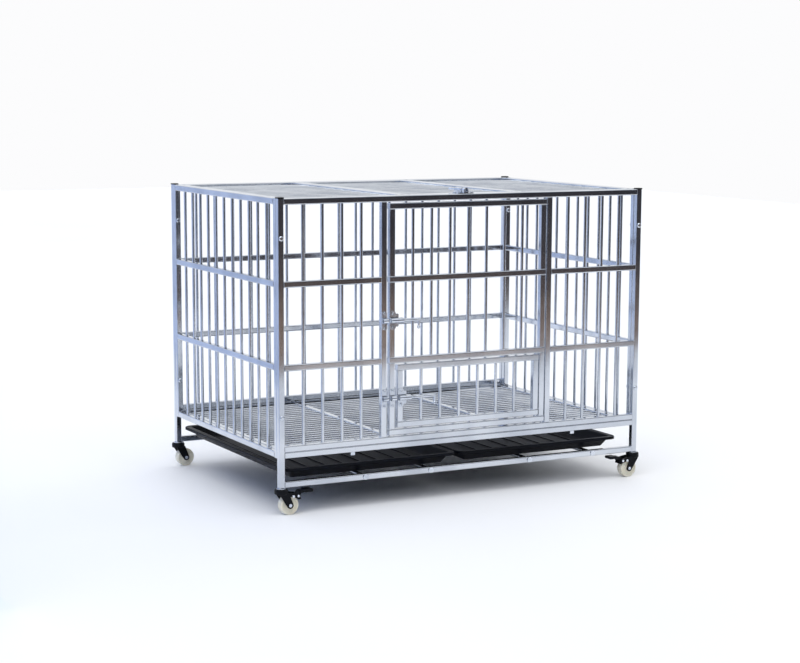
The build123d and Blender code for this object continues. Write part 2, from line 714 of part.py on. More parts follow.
def cross_pin(x, z, diameter, head_r):
    """Pin through both cheeks with a domed rivet head at each end."""
    half = fork_gap / 2 + cheek_t
    pin = Pos(x, 0, z) * Rot(90, 0, 0) * Cylinder(diameter / 2, 2 * half)
    for s in (-1, 1):
        head = Pos(x, s * (half + 0.9), z) * Rot(90, 0, 0) * Cylinder(head_r, 1.8)
        pin = pin + chamfer(head.faces().sort_by(Axis.Y)[-1 if s > 0 else 0].edges(), 0.6)
    return pin


def bracket_rivets():
    """Short rivets on the outside of the cheeks, beside the tread."""
    half = fork_gap / 2 + cheek_t
    return [Pos(brake_x - rivet_back, s * (half + 0.7), brake_z) * Rot(90, 0, 0) * Cylinder(3.5, 1.4)
            for s in (-1, 1)]


def wheel():
    """Moulded wheel with a rounded tread and a hub boss, bored for the axle."""
    tyre = Rot(90, 0, 0) * Cylinder(wheel_d / 2, wheel_width)
    tyre = fillet(tyre.edges().filter_by(GeomType.CIRCLE), 2.5)
    face = wheel_width / 2
    for s in (-1, 1):
        web = Pos(0, s * face, 0) * Rot(90, 0, 0) * Cylinder(wheel_d / 2 - 5, 4)
        tyre = tyre - web
        tyre = tyre + Pos(0, s * (face - 1), 0) * Rot(90, 0, 0) * Cylinder(boss_r, 2)
    bore = Rot(90, 0, 0) * Cylinder(axle_d / 2 + running_clear, 2 * wheel_width)
    return Pos(caster_offset, 0, axle_z) * (tyre - bore)


def brake_lever():
    """Pedal, boss and shoe in one moulding, turning on the pin between the cheeks."""
    paddle_x = brake_x + pedal_length - paddle_length / 2
    paddle_z = brake_z + pedal_rise
    paddle = Pos(paddle_x, paddle_z) * RectangleRounded(paddle_length, paddle_t, paddle_t / 2 - 0.5)
    pedal = make_face(Polyline((brake_x - 3, brake_z + 2), (brake_x, brake_z + 4),
                               (brake_x + 8, paddle_z + 1), (paddle_x, paddle_z + 2),
                               (paddle_x, paddle_z - 2), (brake_x + 10, paddle_z - 4),
                               (brake_x + 2, brake_z - 4), (brake_x - 3, brake_z - 2), close=True))
    pedal = pedal + paddle
    boss = Pos(brake_x, brake_z) * Circle(brake_pin_d / 2 + 2)
    shoe = make_face(Polyline((brake_x - 1, brake_z - 3), (brake_x + 4, brake_z),
                              (brake_x + 9, brake_z - 8), (brake_x + 2, brake_z - 10), close=True))
    blank = pedal + boss + shoe
    blank = blank - Pos(caster_offset, axle_z) * Circle(wheel_d / 2 + shoe_gap)
    lever = upright_profile(blank, fork_gap - 2 * gap)
    return lever - Pos(brake_x, 0, brake_z) * Rot(90, 0, 0) * Cylinder(
        brake_pin_d / 2 + running_clear, 40)


casters = (("front_left", -1, front_tube_y), ("front_right", 1, front_tube_y),
           ("rear_left", -1, rear_tube_y), ("rear_right", 1, rear_tube_y))
write("caster_stems", [Pos(sx * post_x, y, 0) * caster_stem() for name, sx, y in casters])
for name, sx, y in casters:
    braked = name.startswith("front")
    # the wheels are stored trailing towards the middle of the cage
    place = Pos(sx * post_x, y, 0) * Rot(0, 0, 0 if sx < 0 else 180)
    axle = [cross_pin(caster_offset, axle_z, axle_d, axle_d / 2 + 1.5)]
    if braked:
        axle = axle + [cross_pin(brake_x, brake_z, brake_pin_d, 3.5)] + bracket_rivets()
    write(name + "_fork", [place * fork(braked)])
    write(name + "_axle", [place * piece for piece in axle])
    write(name + "_wheel", [place * wheel()])
    if braked:
        write(name + "_brake", [place * brake_lever()])
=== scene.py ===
import bmesh
import bpy
import math
from mathutils import Matrix, Vector


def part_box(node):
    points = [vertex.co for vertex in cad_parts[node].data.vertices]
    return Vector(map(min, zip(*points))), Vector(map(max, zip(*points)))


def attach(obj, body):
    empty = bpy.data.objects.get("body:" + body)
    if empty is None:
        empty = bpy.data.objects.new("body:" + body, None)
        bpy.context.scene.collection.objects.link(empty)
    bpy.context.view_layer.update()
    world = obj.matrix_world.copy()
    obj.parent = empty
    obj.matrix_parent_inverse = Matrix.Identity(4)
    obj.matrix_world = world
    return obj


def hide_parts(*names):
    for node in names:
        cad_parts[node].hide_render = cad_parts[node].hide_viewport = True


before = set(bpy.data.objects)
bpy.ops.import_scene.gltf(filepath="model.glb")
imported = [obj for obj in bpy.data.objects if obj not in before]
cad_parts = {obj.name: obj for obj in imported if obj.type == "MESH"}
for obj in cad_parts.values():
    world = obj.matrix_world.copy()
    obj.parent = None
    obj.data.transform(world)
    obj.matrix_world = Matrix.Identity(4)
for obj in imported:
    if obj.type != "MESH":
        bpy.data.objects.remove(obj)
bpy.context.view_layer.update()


# ---- studio: a pale floor, a soft white room, and the camera ----
# The cage stands on a pale floor under one wide soft light. Polished steel shows what is round
# it, so the room has a pale blue wall on the left and a darker end in front.
FLOOR_COLOUR = "#F3F5F8"
FLOOR_WORN = "#F8F9FB"
FLOOR_FRONT = 2.55                     # metres of floor in front of the cage's middle
FLOOR_BESIDE = 9.0
FLOOR_BEHIND = 14.0
CARD_X = -1.4                          # a blue card stands here, on the cage's left
CARD_FRONT, CARD_BACK, CARD_TOP = -0.9, 3.6, 1.5
CARD_COLOUR = "#D3E1FF"
BACKDROP = "#FCFCFD"
# colours of the room by height: 0 is straight down, 0.5 the horizon, 1 straight up
FRONT_WALL = ((0.0, "#B9A594"), (0.437, "#A08878"), (0.446, "#45454B"), (0.5, "#2C2C31"),
              (0.66, "#34353B"), (0.74, "#C3CDDF"), (0.9, "#FFFFFF"))
LEFT_WALL = ((0.0, "#7F9BD0"), (0.5, "#A9C4F8"), (0.75, "#BDD3FA"), (0.95, "#FFFFFF"))
OTHER_WALLS = ((0.0, "#C9CDD6"), (0.45, "#DCE2EC"), (0.52, "#F1F4F9"), (0.8, "#FFFFFF"))
# how far a direction turns to the front or the left as each wall comes in, and is full
FRONT_BLEND = (-0.12, -0.38)
LEFT_BLEND = (-0.10, -0.42)
FLOOR_CLOUDS = 0.8                     # patches to the metre in the paint


def linear(hex_code):
    """An sRGB hex code as a linear colour."""
    def channel(text):
        value = int(text, 16) / 255
        return value / 12.92 if value <= 0.04045 else ((value + 0.055) / 1.055) ** 2.4
    code = hex_code.lstrip("#")
    return tuple(channel(code[i:i + 2]) for i in (0, 2, 4)) + (1.0,)


def node(tree, kind, links=None, stops=(), **settings):
    """Adds a node: settings are its properties, and links its inputs, by name or by number.

    A link is a socket, a node, which gives its first output, or a plain value. Stops are
    the (place, hex) pairs of a colour ramp."""
    made = tree.nodes.new(kind)
    for name, value in settings.items():
        setattr(made, name, value)
    for name, value in (links or {}).items():
        socket = made.inputs[name]
        if isinstance(value, bpy.types.Node):
            value = value.outputs[0]
        if isinstance(value, bpy.types.NodeSocket):
            tree.links.new(value, socket)
        else:
            socket.default_value = value
    if stops:
        elements = made.color_ramp.elements
        while len(elements) < len(stops):
            elements.new(0.5)
        for i, (place, colour) in enumerate(stops):
            elements[i].position = place
            elements[i].color = linear(colour)
    return made


def add_object(name, data):
    made = bpy.data.objects.new(name, data)
    bpy.context.scene.collection.objects.link(made)
    return made


def add_sheet(name, corners):
    """One flat four-cornered sheet."""
    mesh = bpy.data.meshes.new(name)
    mesh.from_pydata(corners, [], [(0, 1, 2, 3)])
    return add_object(name, mesh)


def new_material(name):
    """A material, with its node tree and its shader."""
    material = bpy.data.materials.new(name)
    material.use_nodes = True
    return material, material.node_tree, material.node_tree.nodes["Principled BSDF"]


def studio_room():
    world = bpy.data.worlds.new("studio_room")
    bpy.context.scene.world = world
    world.use_nodes = True
    tree = world.node_tree
    tree.nodes.clear()
    direction = node(tree, "ShaderNodeTexCoord").outputs["Generated"]
    apart = node(tree, "ShaderNodeSeparateXYZ", {0: direction}).outputs
    height = node(tree, "ShaderNodeMath", {0: apart["Z"], 1: 0.5, 2: 0.5},
                  operation="MULTIPLY_ADD")
    frontward, leftward = [
        node(tree, "ShaderNodeMapRange", {"Value": apart[axis], "From Min": start,
                                          "From Max": full})
        for axis, start, full in (("Y", *FRONT_BLEND), ("X", *LEFT_BLEND))]
    others, left, front = [node(tree, "ShaderNodeValToRGB", {"Fac": height}, wall)
                           for wall in (OTHER_WALLS, LEFT_WALL, FRONT_WALL)]
    sides = node(tree, "ShaderNodeMix", {0: leftward, 6: others, 7: left}, data_type="RGBA")
    walls = node(tree, "ShaderNodeMix", {0: frontward, 6: sides.outputs[2], 7: front},
                 data_type="RGBA")
    seen = node(tree, "ShaderNodeLightPath").outputs["Is Camera Ray"]
    shown = node(tree, "ShaderNodeMix", {0: seen, 6: walls.outputs[2], 7: linear(BACKDROP)},
                 data_type="RGBA")
    back = node(tree, "ShaderNodeBackground", {"Color": shown.outputs[2], "Strength": 1.0})
    node(tree, "ShaderNodeOutputWorld", {"Surface": back})


def studio_floor():
    """A pale painted floor, wide behind and at the sides, that ends in front of the cage."""
    floor = add_sheet("studio_floor", [
        (-FLOOR_BESIDE, -FLOOR_FRONT, 0), (FLOOR_BESIDE, -FLOOR_FRONT, 0),
        (FLOOR_BESIDE, FLOOR_BEHIND, 0), (-FLOOR_BESIDE, FLOOR_BEHIND, 0)])
    paint, tree, shader = new_material("pale_floor_paint")
    where = node(tree, "ShaderNodeTexCoord").outputs["Object"]
    cloud = node(tree, "ShaderNodeTexNoise", {"Vector": where, "Scale": FLOOR_CLOUDS,
                                              "Detail": 2.0})
    tone = node(tree, "ShaderNodeValToRGB", {"Fac": cloud},
                ((0.3, FLOOR_COLOUR), (0.7, FLOOR_WORN)))
    tree.links.new(tone.outputs[0], shader.inputs["Base Color"])
    shader.inputs["Roughness"].default_value = 0.62
    shader.inputs["Specular IOR Level"].default_value = 0.2
    floor.data.materials.append(paint)


def blue_card():
    """A pale blue card beside the cage, for the polished left faces to reflect."""
    card = add_sheet("blue_card", [
        (CARD_X, CARD_FRONT, 0), (CARD_X, CARD_BACK, 0),
        (CARD_X, CARD_BACK, CARD_TOP), (CARD_X, CARD_FRONT, CARD_TOP)])
    card.visible_camera = False
    card.visible_shadow = False
    paper, _, shader = new_material("pale_blue_card")
    shader.inputs["Base Color"].default_value = linear(CARD_COLOUR)
    shader.inputs["Roughness"].default_value = 0.9
    card.data.materials.append(paper)


def soft_sun(name, elevation, azimuth, spread, strength):
    """A wide soft light from one direction, in degrees; azimuth 0 is straight in front."""
    data = bpy.data.lights.new(name, "SUN")
    data.energy = strength
    data.angle = math.radians(spread)
    lamp = add_object(name, data)
    lamp.rotation_euler = (Matrix.Rotation(math.radians(azimuth), 3, "Z")
                           @ Matrix.Rotation(math.radians(90 - elevation), 3, "X")).to_euler()


studio_room()
studio_floor()
blue_card()
soft_sun("window_light", elevation=62, azimuth=-25, spread=60, strength=1.1)

# a long lens at chest height, to the left of the cage's front; angles in radians
CAMERA_PLACE = (-2.5109, -4.6956, 1.0943)
CAMERA_YAW, CAMERA_PITCH, CAMERA_ROLL = 0.5012, 0.1524, 0.0056
CAMERA_SENSOR, CAMERA_LENS = 36.0, 85.73             # millimetres
CAMERA_SHIFT = (-0.0286, 0.0540)
camera = add_object("camera", bpy.data.cameras.new("camera"))
camera.data.sensor_width = CAMERA_SENSOR
camera.data.lens = CAMERA_LENS
camera.data.shift_x, camera.data.shift_y = CAMERA_SHIFT
camera.location = CAMERA_PLACE
camera.rotation_euler = (Matrix.Rotation(-CAMERA_YAW, 3, "Z")
                         @ Matrix.Rotation(math.pi / 2 - CAMERA_PITCH, 3, "X")
                         @ Matrix.Rotation(CAMERA_ROLL, 3, "Z")).to_euler()
bpy.context.scene.camera = camera
bpy.context.scene.view_settings.view_transform = "Standard"


# ---- square tube: 16 mm stainless, drawn, welded and polished ----
# Every frame and rail is cut from bright polished 201 stainless square tube. Polishing
# leaves fine lines along each tube, and a slightly uneven gloss.
MM = 0.001
TUBE = 16 * MM
GRAIN_ALONG = 40 * MM                  # length of a polishing line
GRAIN_ACROSS = 0.7 * MM                # spacing of the lines, coarser than the real 0.1 mm
STEEL = "#D3D7DD"
STEEL_WORN = "#BFC4CC"
STEEL_CLOUDS = 9.0                     # patches of each tone to the metre


def worked_surface(tree, shader, gloss, roughness, grain, strength, depth, edge):
    """Uneven gloss, fine relief and softened edges, as making leaves them on a surface.

    gloss and grain are patterns, roughness is the least and the most, and edge is the
    radius of the edges."""
    spread = node(tree, "ShaderNodeMapRange", {"Value": gloss, "From Min": 0.3, "From Max": 0.7,
                                               "To Min": roughness[0], "To Max": roughness[1]})
    softened = node(tree, "ShaderNodeBevel", {"Radius": edge}, samples=4)
    relief = node(tree, "ShaderNodeBump", {"Height": grain, "Strength": strength,
                                           "Distance": depth, "Normal": softened})
    tree.links.new(spread.outputs[0], shader.inputs["Roughness"])
    tree.links.new(relief.outputs[0], shader.inputs["Normal"])


def polished_lines(tree, where, axis):
    """Noise drawn out along one axis, as a value round 0.5."""
    scale = [1 / GRAIN_ACROSS] * 3
    scale["xyz".index(axis)] = 1 / GRAIN_ALONG
    drawn = node(tree, "ShaderNodeMapping", {"Vector": where, "Scale": scale})
    lines = node(tree, "ShaderNodeTexNoise", {"Vector": drawn.outputs[0], "Scale": 1.0,
                                              "Detail": 3.0, "Roughness": 0.6})
    return lines.outputs["Fac"]


def stainless(name, axis, other=None, split=None, roughness=0.10):
    """Polished stainless steel whose lines run along axis, and along other past a split.

    split is (axis, middle, half): the parts further than half from middle on that axis
    have their lines along other."""
    material, tree, shader = new_material(name)
    where = node(tree, "ShaderNodeTexCoord").outputs["Object"]
    lines = polished_lines(tree, where, axis)
    if other:
        split_axis, middle, half = split
        place = node(tree, "ShaderNodeSeparateXYZ", {0: where}).outputs[split_axis.upper()]
        offset = node(tree, "ShaderNodeMath", {0: place, 1: middle}, operation="SUBTRACT")
        away = node(tree, "ShaderNodeMath", {0: offset}, operation="ABSOLUTE")
        beyond = node(tree, "ShaderNodeMath", {0: away, 1: half}, operation="GREATER_THAN")
        both = node(tree, "ShaderNodeMix", {0: beyond, 2: lines,
                                            3: polished_lines(tree, where, other)})
        lines = both.outputs[0]
    cloud = node(tree, "ShaderNodeTexNoise", {"Vector": where, "Scale": STEEL_CLOUDS,
                                              "Detail": 3.0})
    tone = node(tree, "ShaderNodeValToRGB", {"Fac": cloud}, ((0.35, STEEL_WORN), (0.6, STEEL)))
    tree.links.new(tone.outputs[0], shader.inputs["Base Color"])
    shader.inputs["Metallic"].default_value = 1.0
    worked_surface(tree, shader, lines, (roughness * 0.7, roughness * 1.5),
                   lines, strength=0.08, depth=0.02 * MM, edge=0.4 * MM)
    return material


def finish(material, *names):
    """Gives CAD nodes their finished material."""
    for name in names:
        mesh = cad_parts[name].data
        mesh.materials.clear()
        mesh.materials.append(material)


def edge_split(name, axis):
    """Where the end members of a frame begin: (axis, middle, half) for stainless()."""
    index = "xyz".index(axis)
    lo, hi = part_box(name)
    return axis, (lo[index] + hi[index]) / 2, (hi[index] - lo[index]) / 2 - TUBE


tube_upright = stainless("polished_stainless_tube_upright", "z")
tube_lengthwise = stainless("polished_stainless_tube_lengthwise", "x")
finish(tube_upright, "corner_posts", "front_jambs")
finish(tube_lengthwise, "front_rails", "rear_rails", "lower_rails")
for frame_node, along, ends, ends_axis in (
        ("left_side_frame", "y", "z", "y"), ("right_side_frame", "y", "z", "y"),
        ("roof_frame", "y", "x", "y"), ("floor_frame", "y", "x", "y"),
        ("roof_hatch_frame", "x", "y", "x"), ("main_door_frame", "x", "z", "x"),
        ("feed_door_frame", "x", "z", "x")):
    finish(stainless("polished_stainless_" + frame_node, along, ends,
                     edge_split(frame_node, ends_axis)), frame_node)


# ---- round bar: 8 mm bright drawn stainless ----
# The upright bars, the roof and floor bars and the tray rods. Drawing leaves lines along
# the bar, and the surface is a little duller than the polished tube.
bar_upright = stainless("drawn_stainless_bar_upright", "z", roughness=0.14)
bar_lengthwise = stainless("drawn_stainless_bar_lengthwise", "x", roughness=0.14)
bar_crosswise = stainless("drawn_stainless_rod_crosswise", "y", roughness=0.14)
finish(bar_upright, "front_bars", "rear_bars", "left_side_bars", "right_side_bars",
       "main_door_bars", "feed_door_bars")
finish(bar_lengthwise, "roof_bars", "floor_bars", "roof_hatch_bars")
finish(bar_crosswise, "tray_rods")


# ---- fittings: latches, keepers, pins, screws, bolts and nuts ----
# Pressed and turned steel with bright zinc plate: brighter and bluer than the tube, with
# a fine orange-peel gloss.
ZINC = "#DDE2EA"
ZINC_DULL = "#C2C9D4"
ZINC_CLOUDS = 60.0                     # patches of each tone to the metre
ZINC_PEEL = 900.0                      # dimples to the metre, a little coarser than real ones


def zinc_plate(name):
    material, tree, shader = new_material(name)
    where = node(tree, "ShaderNodeTexCoord").outputs["Object"]
    peel = node(tree, "ShaderNodeTexNoise", {"Vector": where, "Scale": ZINC_PEEL,
                                             "Detail": 2.0})
    cloud = node(tree, "ShaderNodeTexNoise", {"Vector": where, "Scale": ZINC_CLOUDS,
                                              "Detail": 4.0})
    tone = node(tree, "ShaderNodeValToRGB", {"Fac": cloud}, ((0.35, ZINC_DULL), (0.6, ZINC)))
    tree.links.new(tone.outputs[0], shader.inputs["Base Color"])
    shader.inputs["Metallic"].default_value = 1.0
    worked_surface(tree, shader, cloud, (0.14, 0.26),
                   peel, strength=0.10, depth=0.02 * MM, edge=0.5 * MM)
    return material


zinc = zinc_plate("bright_zinc_plate")
finish(zinc, *[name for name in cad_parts
               if any(word in name for word in ("latch", "keeper", "bolts", "nuts", "pins",
                                                "screws", "axle", "stems", "hooks",
                                                "rod_caps"))])


# ---- black mouldings: post caps, caster forks, brake levers ----
# Black nylon mouldings with a fine spark-eroded texture. The caps press into the post
# tops, the forks carry the wheels, and each lever hangs on a pin across its fork.
MOULDING_CLOUDS = 25.0                 # patches of each tone to the metre


def black_moulding(name, colour, shade, grain, roughness, specular=0.5):
    material, tree, shader = new_material(name)
    where = node(tree, "ShaderNodeTexCoord").outputs["Object"]
    spark = node(tree, "ShaderNodeTexNoise", {"Vector": where, "Scale": 1 / grain,
                                              "Detail": 3.0, "Roughness": 0.7})
    cloud = node(tree, "ShaderNodeTexNoise", {"Vector": where, "Scale": MOULDING_CLOUDS,
                                              "Detail": 3.0})
    tone = node(tree, "ShaderNodeValToRGB", {"Fac": cloud}, ((0.35, colour), (0.7, shade)))
    tree.links.new(tone.outputs[0], shader.inputs["Base Color"])
    shader.inputs["Specular IOR Level"].default_value = specular
    worked_surface(tree, shader, spark, (roughness - 0.06, roughness + 0.10),
                   spark, strength=0.25, depth=0.05 * MM, edge=0.8 * MM)
    return material


black_nylon = black_moulding("black_moulded_nylon", "#05070C", "#090C13", 0.5 * MM, 0.38, 0.16)
finish(black_nylon, *[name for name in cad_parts
                      if name.endswith(("_fork", "_brake")) or name == "post_caps"])


# ---- trays ----
# Two vacuum-formed black polypropylene trays: a flat floor with raised ribs, walls that
# splay out, and a rolled rim. They lie loose on the rods and slide out to the front.
TRAY_WALL = 2.5 * MM
TRAY_RIM = 14 * MM
TRAY_TAPER = 18 * MM
TRAY_CORNER = 25 * MM
CORNER_LEAST = 9 * MM                  # the floor's corners get no tighter than this
CORNER_STEPS = 10
# the section, in millimetres: in from the outline, and down from the top of the rim
RIM_ABOVE = ((0.0, 7.5), (0.0, 2.5), (0.5, 1.0), (1.8, 0.1), (3.5, 0.1), (5.5, 0.9),
             (11.0, 1.1), (16.5, 0.8), (17.7, 2.6))
RIM_BELOW = ((14.6, 3.4), (2.5, 3.2), (2.5, 7.5))
# and where it meets the floor: in from the floor's edge, and up from the underside
FLOOR_ABOVE = ((-3.0, 5.9), (-1.2, 3.5), (1.6, 2.5))
FLOOR_BELOW = ((1.0, 0.05), (-3.1, 0.6), (-4.7, 2.6))
RIB_PITCH = 52 * MM
RIB_WIDTH = 9 * MM
RIB_TOP_SHARE = 0.55                   # the ribs narrow to this at the top
RIB_HEIGHT = 1.6 * MM
RIB_SUNK = 0.1 * MM
RIB_GAP = 14 * MM                      # from the ribs to where the walls rise
tray_plastic = black_moulding("black_formed_tray", "#03050C", "#060A17", 0.8 * MM, 0.40, 0.12)


def rounded_ring(low, high, inset, z):
    """Corners of a rounded rectangle, drawn in from the tray's outline by inset."""
    radius = max(TRAY_CORNER - inset, CORNER_LEAST)
    ring = []
    for quarter, (cx, cy) in enumerate(((high[0], high[1]), (low[0], high[1]),
                                        (low[0], low[1]), (high[0], low[1]))):
        sx, sy = (1, -1, -1, 1)[quarter], (1, 1, -1, -1)[quarter]
        centre = (cx - sx * (inset + radius), cy - sy * (inset + radius))
        for step in range(CORNER_STEPS + 1):
            angle = math.radians(90 * (quarter + step / CORNER_STEPS))
            ring.append((centre[0] + radius * math.cos(angle),
                         centre[1] + radius * math.sin(angle), z))
    return ring


def formed_tray(name):
    """Swept section of the tray: skirt, rolled rim, wall, floor, and back underneath."""
    low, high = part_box(name)
    top, base = high[2], low[2]
    edge = TRAY_RIM + TRAY_TAPER + TRAY_WALL
    section = [(inset * MM, top - drop * MM) for inset, drop in RIM_ABOVE]
    section += [(edge + inset * MM, base + rise * MM) for inset, rise in FLOOR_ABOVE]
    under = [(edge + inset * MM, base + rise * MM) for inset, rise in FLOOR_BELOW]
    under += [(inset * MM, top - drop * MM) for inset, drop in RIM_BELOW]
    built = bmesh.new()
    rings = [[built.verts.new(place) for place in rounded_ring(low, high, inset, z)]
             for inset, z in section + under]
    around = len(rings[0])
    for first, second in list(zip(rings, rings[1:])) + [(rings[-1], rings[0])]:
        if first is rings[len(section) - 1]:
            continue
        for i in range(around):
            j = (i + 1) % around
            built.faces.new((first[i], first[j], second[j], second[i]))
    built.faces.new(rings[len(section) - 1])
    built.faces.new(list(reversed(rings[len(section)])))
    bmesh.ops.recalc_face_normals(built, faces=built.faces)
    mesh = bpy.data.meshes.new(name + "_formed")
    built.to_mesh(mesh)
    built.free()
    for face in mesh.polygons:
        face.use_smooth = len(face.vertices) == 4
    mesh.materials.append(tray_plastic)
    tray = add_object(name + "_formed", mesh)
    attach(tray, name)
    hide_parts(name)


def group_input(tree, name, kind, value=None):
    """A named input of a Geometry Nodes tree, with its value to start from."""
    made = tree.interface.new_socket(name, in_out="INPUT", socket_type=kind)
    if value is not None:
        made.default_value = value
    return made.identifier


def grown(name, tree, settings, points, vectors=None):
    """A plain mesh from a tree that was run on points, with its inputs set beforehand."""
    seed_mesh = bpy.data.meshes.new(name + "_points")
    seed_mesh.from_pydata(points, [], [])
    if vectors:
        along = seed_mesh.attributes.new("along", "FLOAT_VECTOR", "POINT")
        along.data.foreach_set("vector", [value for vector in vectors for value in vector])
    seed = add_object(name + "_seed", seed_mesh)
    modifier = seed.modifiers.new("grow", "NODES")
    modifier.node_group = tree
    for identifier, value in settings.items():
        modifier[identifier] = value
    ready = seed.evaluated_get(bpy.context.evaluated_depsgraph_get())
    mesh = bpy.data.meshes.new_from_object(ready)
    seed.modifiers.remove(modifier)
    bpy.data.objects.remove(seed)
    mesh.name = name
    return add_object(name, mesh)


def painted_output(tree, geometry, material):
    """Ends a tree with its geometry in one material."""
    painted = node(tree, "GeometryNodeSetMaterial", {"Geometry": geometry,
                                                     "Material": material})
    node(tree, "NodeGroupOutput", {0: painted.outputs[0]})


def rib_tree():
    """Raised ribs with sloped sides, one at each point, all along Y."""
    tree = bpy.data.node_groups.new("tray_ribs", "GeometryNodeTree")
    group_input(tree, "Points", "NodeSocketGeometry")
    inputs = {"length": group_input(tree, "Rib length", "NodeSocketFloat", 0.5),
              "width": group_input(tree, "Rib width", "NodeSocketFloat", RIB_WIDTH),
              "height": group_input(tree, "Rib height", "NodeSocketFloat", RIB_HEIGHT)}
    tree.interface.new_socket("Ribs", in_out="OUTPUT", socket_type="NodeSocketGeometry")
    given = node(tree, "NodeGroupInput").outputs
    narrow = node(tree, "ShaderNodeMath", {0: given["Rib width"], 1: RIB_TOP_SHARE},
                  operation="MULTIPLY")
    section = node(tree, "GeometryNodeCurvePrimitiveQuadrilateral",
                   {"Height": given["Rib height"], "Bottom Width": given["Rib width"],
                    "Top Width": narrow, "Offset": 0.0}, mode="TRAPEZOID")
    start, end = [
        node(tree, "ShaderNodeCombineXYZ", {
            1: node(tree, "ShaderNodeMath", {0: given["Rib length"], 1: share},
                    operation="MULTIPLY")})
        for share in (-0.5, 0.5)]
    spine = node(tree, "GeometryNodeCurvePrimitiveLine", {"Start": start, "End": end})
    rib = node(tree, "GeometryNodeCurveToMesh", {"Curve": spine.outputs[0],
                                                 "Profile Curve": section.outputs[0],
                                                 "Fill Caps": True})
    placed = node(tree, "GeometryNodeInstanceOnPoints", {"Points": given["Points"],
                                                         "Instance": rib.outputs[0]})
    real = node(tree, "GeometryNodeRealizeInstances", {0: placed.outputs[0]})
    painted_output(tree, real.outputs[0], tray_plastic)
    return tree, inputs


tray_ribs, rib_inputs = rib_tree()
for tray_name in ("left_tray", "right_tray"):
    formed_tray(tray_name)
    tray_low, tray_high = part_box(tray_name)
    margin = TRAY_RIM + TRAY_TAPER + TRAY_WALL + RIB_GAP
    rib_count = int((tray_high[0] - tray_low[0] - 2 * margin) / RIB_PITCH)
    tray_middle = [(a + b) / 2 for a, b in zip(tray_low, tray_high)]
    rib_places = [(tray_middle[0] + RIB_PITCH * (i - rib_count / 2), tray_middle[1],
                   tray_low[2] + TRAY_WALL + RIB_HEIGHT / 2 - RIB_SUNK)
                  for i in range(rib_count + 1)]
    ribs = grown(tray_name + "_ribs", tray_ribs,
                 {rib_inputs["length"]: tray_high[1] - tray_low[1] - 2 * margin},
                 rib_places)
    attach(ribs, tray_name)


# ---- wheels ----
# Cream nylon wheels, moulded in one piece, with a fine crossed pattern on the tread and
# a dished side. Each turns on a steel axle.
WHEEL_RADIUS = 25 * MM
CROSS_COUNT = 64                       # slanting lines round the tread
CROSS_LEAD = 2.4 * MM                  # the lines drift by one pitch in this width
TREAD_EDGE = 1.2 * MM                  # rounded shoulder, which the pattern leaves out


def wheel_nylon(name, centre):
    """Cream nylon whose tread lines run round this wheel's own axle."""
    material = black_moulding(name, "#E4DFCC", "#EEEADB", 0.6 * MM, 0.42)
    tree = material.node_tree
    shader = tree.nodes["Principled BSDF"]
    where = node(tree, "ShaderNodeTexCoord").outputs["Object"]
    apart = node(tree, "ShaderNodeSeparateXYZ", {0: where}).outputs
    x, z = [node(tree, "ShaderNodeMath", {0: apart[axis], 1: middle}, operation="SUBTRACT")
            for axis, middle in (("X", centre[0]), ("Z", centre[2]))]
    turn = node(tree, "ShaderNodeMath", {0: z, 1: x}, operation="ARCTAN2")
    angle = node(tree, "ShaderNodeMath", {0: turn, 1: CROSS_COUNT}, operation="MULTIPLY")
    across = node(tree, "ShaderNodeMath", {0: apart["Y"], 1: 2 * math.pi / CROSS_LEAD},
                  operation="MULTIPLY")
    slants = [node(tree, "ShaderNodeMath", {0: angle, 1: across}, operation=way)
              for way in ("ADD", "SUBTRACT")]
    lines = [node(tree, "ShaderNodeMath", {0: slant}, operation="SINE") for slant in slants]
    crossed = node(tree, "ShaderNodeMath", {0: lines[0], 1: lines[1]}, operation="MAXIMUM")
    squares = [node(tree, "ShaderNodeMath", {0: side, 1: side}, operation="MULTIPLY")
               for side in (x, z)]
    total = node(tree, "ShaderNodeMath", {0: squares[0], 1: squares[1]}, operation="ADD")
    radius = node(tree, "ShaderNodeMath", {0: total}, operation="SQRT")
    on_tread = node(tree, "ShaderNodeMath", {0: radius, 1: WHEEL_RADIUS - TREAD_EDGE},
                    operation="GREATER_THAN")
    height = node(tree, "ShaderNodeMath", {0: crossed, 1: on_tread}, operation="MULTIPLY")
    grain = shader.inputs["Normal"].links[0].from_socket
    relief = node(tree, "ShaderNodeBump", {"Height": height, "Strength": 0.5,
                                           "Distance": 0.3 * MM, "Normal": grain})
    tree.links.new(relief.outputs[0], shader.inputs["Normal"])
    shader.inputs["Subsurface Weight"].default_value = 0.15
    shader.inputs["Subsurface Radius"].default_value = (0.004, 0.003, 0.002)
    return material


for wheel_name in [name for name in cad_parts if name.endswith("_wheel")]:
    wheel_low, wheel_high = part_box(wheel_name)
    finish(wheel_nylon("cream_nylon_" + wheel_name,
                       [(a + b) / 2 for a, b in zip(wheel_low, wheel_high)]), wheel_name)


# ---- cross recesses of the latch and keeper screws ----
# Each domed screw has a cross pressed into its head, for the driver. The recess is not cut:
# a thin dark cross of painted shade lies on the head instead, on the front of the doors and
# jambs and on top of the hatch.
RECESS_LENGTH = 3.2 * MM
RECESS_WIDTH = 0.7 * MM
RECESS_PROUD = 0.06 * MM               # thickness of the dark cross, half of it proud
SAME_POINT = 1e-6                      # points closer than this are one
# painted shade: a dark material for the crosses, standing in for the shadow inside each recess
recess_painted_shade = black_moulding("recess_shadow", "#16181B", "#1E2024", 0.5 * MM, 0.6)


